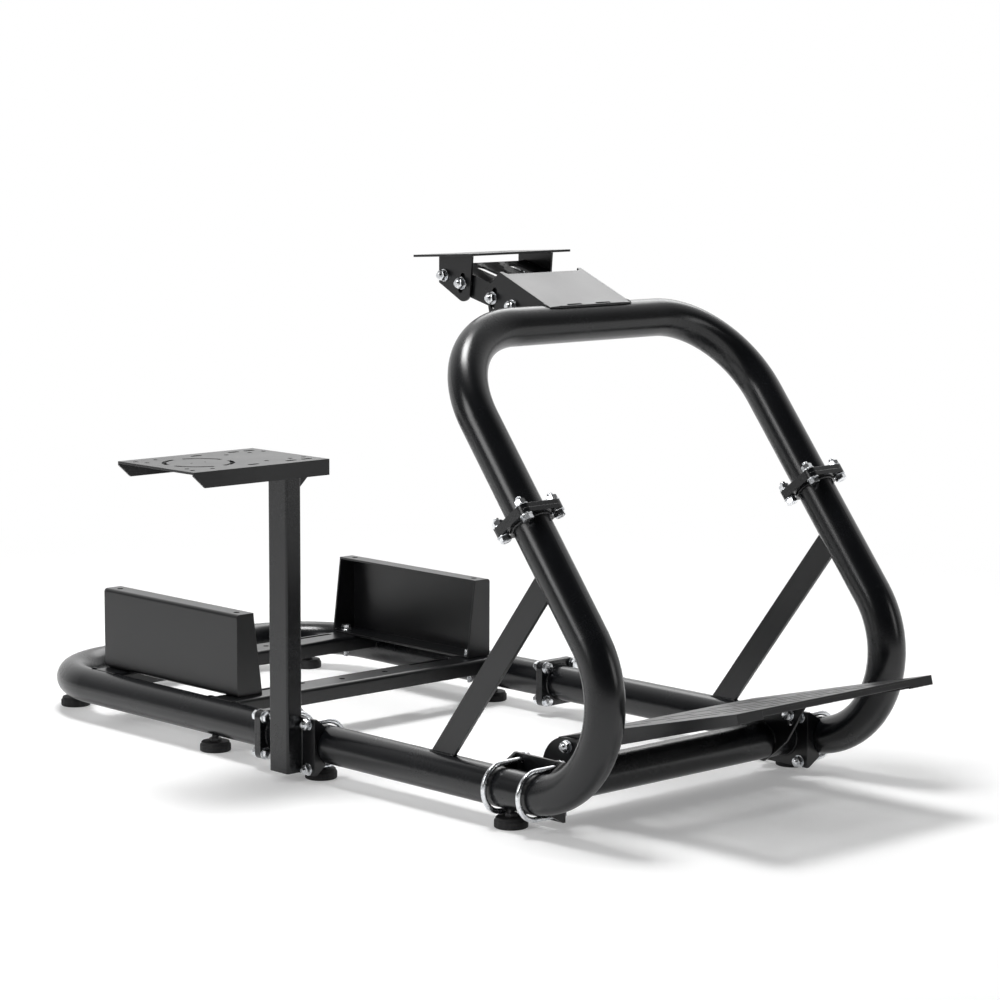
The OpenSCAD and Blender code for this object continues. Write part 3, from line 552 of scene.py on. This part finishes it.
section = [(0, 10.2), (0, 4.7), (0.7, 4.0), (2.3, 4.0), (3.0, 4.7), (3.0, 10.2)]
edge = bmesh.new()
left, right = [[edge.verts.new(on_plate(x, FRONT_Y + y, z)) for y, z in section]
               for x in (-EDGE_END_X, EDGE_END_X)]
for index in range(len(section)):
    after = (index + 1) % len(section)
    edge.faces.new((left[index], left[after], right[after], right[index]))
edge.faces.new(list(reversed(left)))
edge.faces.new(right)
# The turned edge takes the same lighter coat with its painted sheen.
finish_piece(edge, "pedal_plate_front_edge", TREAD_WITH_PAINTED_SHEEN, "pedal_plate")

# %% [markdown]
# A levelling foot is a moulded rubber puck with a bevelled shoulder and finger notches
# round its rim, on a threaded stud with a lock nut. The notches are a wave in the radius.

# %% Levelling feet
REAR_BEND, REAR_Y = 133.0, 1029.0
corner = math.sqrt(0.5) * REAR_BEND
foot_places = [(RAIL_X, y) for y in (15, 380, 606)]
foot_places.append((RAIL_X - REAR_BEND + corner, REAR_Y - REAR_BEND + corner))
pucks, studs = bmesh.new(), bmesh.new()


def notched(radius, depth):
    return lambda turn: radius - depth * max(0.0, math.cos(16 * turn)) ** 3


for side in (-1, 1):
    for index, (x, y) in enumerate(foot_places):
        ground = axis_matrix(at(side * x, y, 0), (0, 0, 1), turns(index + side))
        spin(pucks, [(0.0200, 0.0), (0.0211, 0.0007), (notched(0.0214, 0.0005), 0.0018),
                     (notched(0.0214, 0.0008), 0.0086), (0.0210, 0.0095), (0.0203, 0.0101),
                     (0.0197, 0.0108), (0.0194, 0.0126), (0.0186, 0.0134), (0.0090, 0.0134),
                     (0.0086, 0.0130)], ground, 96)
        stud = ground @ Matrix.Translation((0, 0, 0.0132))
        thread(studs, stud, 0.0104, 0.005, 0.0015)
        nut(studs, stud, 0.005, 0.0074)
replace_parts(finish_piece(pucks, "foot_pucks", RUBBER, "frame"), "levelling_feet")
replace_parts(finish_piece(studs, "foot_threads", OXIDE, "frame"), "foot_studs")

# %% [markdown]
# Every plate is welded to its tube with a bead: a row of small overlapping scallops under
# the coat. A thin tube walked along the joint, whose radius swells and shrinks once each
# scallop, reads as a bead at a fraction of the cost of modelling the puddles.

# %% Weld beads
SCALLOP, BEAD_STEP = 0.0028, 0.0009


def bead(mesh, path, outs, size=0.0021, closed=False):
    travelled, radii = 0.0, []
    for index, point in enumerate(path):
        travelled += (point - path[index - 1]).length if index else 0.0
        swell = abs(math.sin(math.pi * travelled / SCALLOP))
        taper = 1.0 if closed else min(1.0, 0.55 + 4 * min(index, len(path) - 1 - index)
                                       / len(path))
        radii.append(size * (0.80 + 0.20 * swell) * taper)
    walk(mesh, path, outs, radii, 7, closed)


def ring_bead(mesh, centre, axis, radius, start=0.0, stop=360.0, size=0.0021):
    """A bead round a tube; angles run from the direction nearest to straight up."""
    axis = Vector(axis).normalized()
    across = Vector((1, 0, 0)) if abs(axis.x) < 0.9 else Vector((0, 1, 0))
    upright = axis.cross(across).normalized()
    upright = upright if upright.z > 0 else -upright
    closed = stop - start >= 360
    count = max(8, int(math.radians(stop - start) * radius / BEAD_STEP))
    angles = [math.radians(start + (stop - start) * i / count)
              for i in range(count if closed else count + 1)]
    outs = [upright * math.cos(t) + across * math.sin(t) for t in angles]
    bead(mesh, [centre + radius * out for out in outs], outs, size, closed)


def line_bead(mesh, start, stop, out, size=0.0019):
    count = max(6, int((stop - start).length / BEAD_STEP))
    path = [start.lerp(stop, i / count) for i in range(count + 1)]
    bead(mesh, path, [Vector(out).normalized()] * len(path), size)


welds = bmesh.new()
R = TUBE_R / 1000
FLANGE_FACE, CLAMP_X, BRACKET_X = 6.8, 223.2, 74.8
EAR_FACES_X = (180.8, 186.2)
CROSSMEMBER_EDGES_Y = (571.3, 622.7, 842.3, 893.7)
for side in (-1, 1):
    for shift in (-FLANGE_FACE, FLANGE_FACE):
        ring_bead(welds, at(side * RAIL_X, JOINT_Y + shift, RAIL_Z), (0, 1, 0), R + 0.0006)
        ring_bead(welds, at(side * RAIL_X, leg_y(LEG_JOINT_Z), LEG_JOINT_Z)
                  + Vector(LEG_AXIS) * shift / 1000, LEG_AXIS, R + 0.0006)
    ring_bead(welds, at(side * CLAMP_X, 0, RAIL_Z), (1, 0, 0), R + 0.0008)
    for x in EAR_FACES_X:
        ring_bead(welds, at(side * x, 0, RAIL_Z), (1, 0, 0), R + 0.0006, -90, 170, 0.0018)
    ring_bead(welds, at(side * BRACKET_X, leg_y(TOP_BAR_Z), TOP_BAR_Z), (1, 0, 0),
              R + 0.0006, -22, 84, 0.0018)
    for y in CROSSMEMBER_EDGES_Y:
        ring_bead(welds, at(side * RAIL_X, y, RAIL_Z), (0, 1, 0), R + 0.0004,
                  *((0, 82) if side < 0 else (-82, 0)), 0.0017)
SLOPE = math.radians(52.5)
brace_top = ((158 + RAIL_Z / math.tan(SLOPE) - LEG_FOOT_Y + LEG_FOOT_Z * math.tan(LEAN))
             / (math.tan(LEAN) + 1 / math.tan(SLOPE)))
leg_back = Vector((0, math.cos(LEAN), -math.sin(LEAN)))
leg_up = Vector(LEG_AXIS)
meet = at(0, leg_y(brace_top), brace_top) + leg_back * 0.0249 + leg_up * 0.0064
BRACE_FACE, RAIL_TOP = 3.0, 72.6
for side in (-1, 1):
    for face in (-1, 1):
        shift = Vector(((side * RAIL_X + face * BRACE_FACE) / 1000, 0, 0))
        line_bead(welds, at(0, 117, RAIL_TOP) + shift, at(0, 161, RAIL_TOP) + shift,
                  (face, 0, 1))
        line_bead(welds, meet - leg_up * 0.018 + shift, meet + leg_up * 0.018 + shift,
                  Vector((face, 0, 0)) + leg_back)
cover_ends = [at(x, leg_y(TOP_BAR_Z) - 12.4, TOP_BAR_Z + 22.6) for x in (-73, 73)]
line_bead(welds, *cover_ends, (0, -0.6, 1), 0.0022)
POST_TOP, CLAMP_FACE_X = 420.2, -290.8
for y, way in ((381.4, -1), (420.6, 1)):
    line_bead(welds, at(CLAMP_FACE_X, y, 12), at(CLAMP_FACE_X, y, 83), (-1, way, 0), 0.0017)
    line_bead(welds, at(-314, y, POST_TOP), at(-291, y, POST_TOP), (0, way, -1), 0.0016)
for x, way in ((-315.6, -1), (-289.4, 1)):
    line_bead(welds, at(x, 383, POST_TOP), at(x, 419, POST_TOP), (way, 0, -1), 0.0016)
finish_piece(welds, "weld_beads", COAT, "frame", 80)

# %% [markdown]
# The photograph was taken on a white sweep: the floor fades into the background, and only
# soft grey shadows hold the rig down. The floor is a plain pale diffuse surface with a
# little light of its own for camera rays, so it reads near white without more lamps and
# keeps the shadow. Far from the rig it turns into even white, as a sweep does.

# %% Floor
floor_mesh = bmesh.new()
bmesh.ops.create_grid(floor_mesh, x_segments=1, y_segments=1, size=30)
floor_data = bpy.data.meshes.new("studio_floor")
floor_mesh.to_mesh(floor_data)
floor_mesh.free()
floor = bpy.data.objects.new("studio_floor", floor_data)
floor.location.z = -0.0002
bpy.context.scene.collection.objects.link(floor)
paper, paper_tree, paper_shader = blank("white_studio_paper", Roughness=0.9,
                                        Specular_IOR_Level=0.1)
paper_shader.inputs["Base Color"].default_value = (0.82, 0.82, 0.82, 1)


def camera_or_mirror(tree):
    """1 for rays from the camera or off a glossy surface, else 0."""
    camera = node(tree, "ShaderNodeLightPath", output=0)
    return camera.math("MAXIMUM", camera, node(tree, "ShaderNodeLightPath", output=3))


FLOOR_GLOW, WHITE = 0.24, (1, 1, 1, 1)
glow = node(paper_tree, "ShaderNodeEmission", {},
            {"Color": WHITE, "Strength": camera_or_mirror(paper_tree) * FLOOR_GLOW})
near = node(paper_tree, "ShaderNodeAddShader", {},
            {0: Wire(paper_tree, paper_shader.outputs[0]), 1: glow})
far = node(paper_tree, "ShaderNodeEmission", {}, {"Color": WHITE, "Strength": 1.0})
distance = node(paper_tree, "ShaderNodeVectorMath", {"operation": "LENGTH"},
                {0: place_of(paper_tree)}, output=1)
sweep = node(paper_tree, "ShaderNodeMixShader", {},
             {0: distance.over(0.9, 2.3) * camera_or_mirror(paper_tree), 1: near, 2: far})
feed(paper_tree.nodes["Material Output"], "Surface", sweep)
floor_data.materials.append(paper)

# %% [markdown]
# Round tubes are drawn by what they mirror. A soft box behind and above gives the bright
# line along the upper edge of each tube and the pale tops of the plates, a tall box at the
# driver's right draws the soft stripe down each leg, and the floor lights the lower half.
# The room on the camera's side stays dim, which keeps the middle of a tube black.

# %% Studio light
def soft_box(name, place, target, width, depth, power):
    lamp = bpy.data.lights.new(name, "AREA")
    lamp.shape, lamp.energy = "RECTANGLE", power
    lamp.size, lamp.size_y = width, depth
    holder = bpy.data.objects.new(name, lamp)
    bpy.context.scene.collection.objects.link(holder)
    holder.location = place
    aim = Vector(target) - Vector(place)
    holder.rotation_euler = aim.to_track_quat("-Z", "Y").to_euler()


soft_box("overhead_box", (-0.25, 0.45, 3.0), (0, 0, 0.3), 0.9, 0.9, 66)
soft_box("back_box", (2.5, 1.7, 2.5), (0, 0, 0.4), 2.6, 1.3, 34)
soft_box("right_hand_box", (-3.0, 0.2, 1.7), (0, 0, 0.4), 1.0, 1.7, 33)
soft_box("left_hand_box", (1.5, -3.2, 1.3), (0, 0, 0.4), 0.6, 1.3, 8)

FILL, DIM_SIDE = 0.24, 0.015
world = bpy.data.worlds.new("studio_world")
bpy.context.scene.world = world
world.use_nodes = True
sky = world.node_tree
seen = node(sky, "ShaderNodeLightPath", output=0)
mirrored = node(sky, "ShaderNodeLightPath", output=3)
through = node(sky, "ShaderNodeLightPath", output=4)
heading = node(sky, "ShaderNodeTexCoord", output=0)
behind = node(sky, "ShaderNodeVectorMath", {"operation": "DOT_PRODUCT"},
              {0: heading, 1: (0.68, 0.72, 0.0)}, output=1)
room = behind.over(-0.15, 0.75) + DIM_SIDE
strength = seen * (1 - FILL) + mirrored * (room - FILL) + through * (1 - FILL) + FILL
feed(sky.nodes["Background"], "Strength", strength)
sky.nodes["Background"].inputs["Color"].default_value = WHITE
bpy.context.scene.view_settings.view_transform = "Standard"

# %% [markdown]

# %% End
print("scene built")
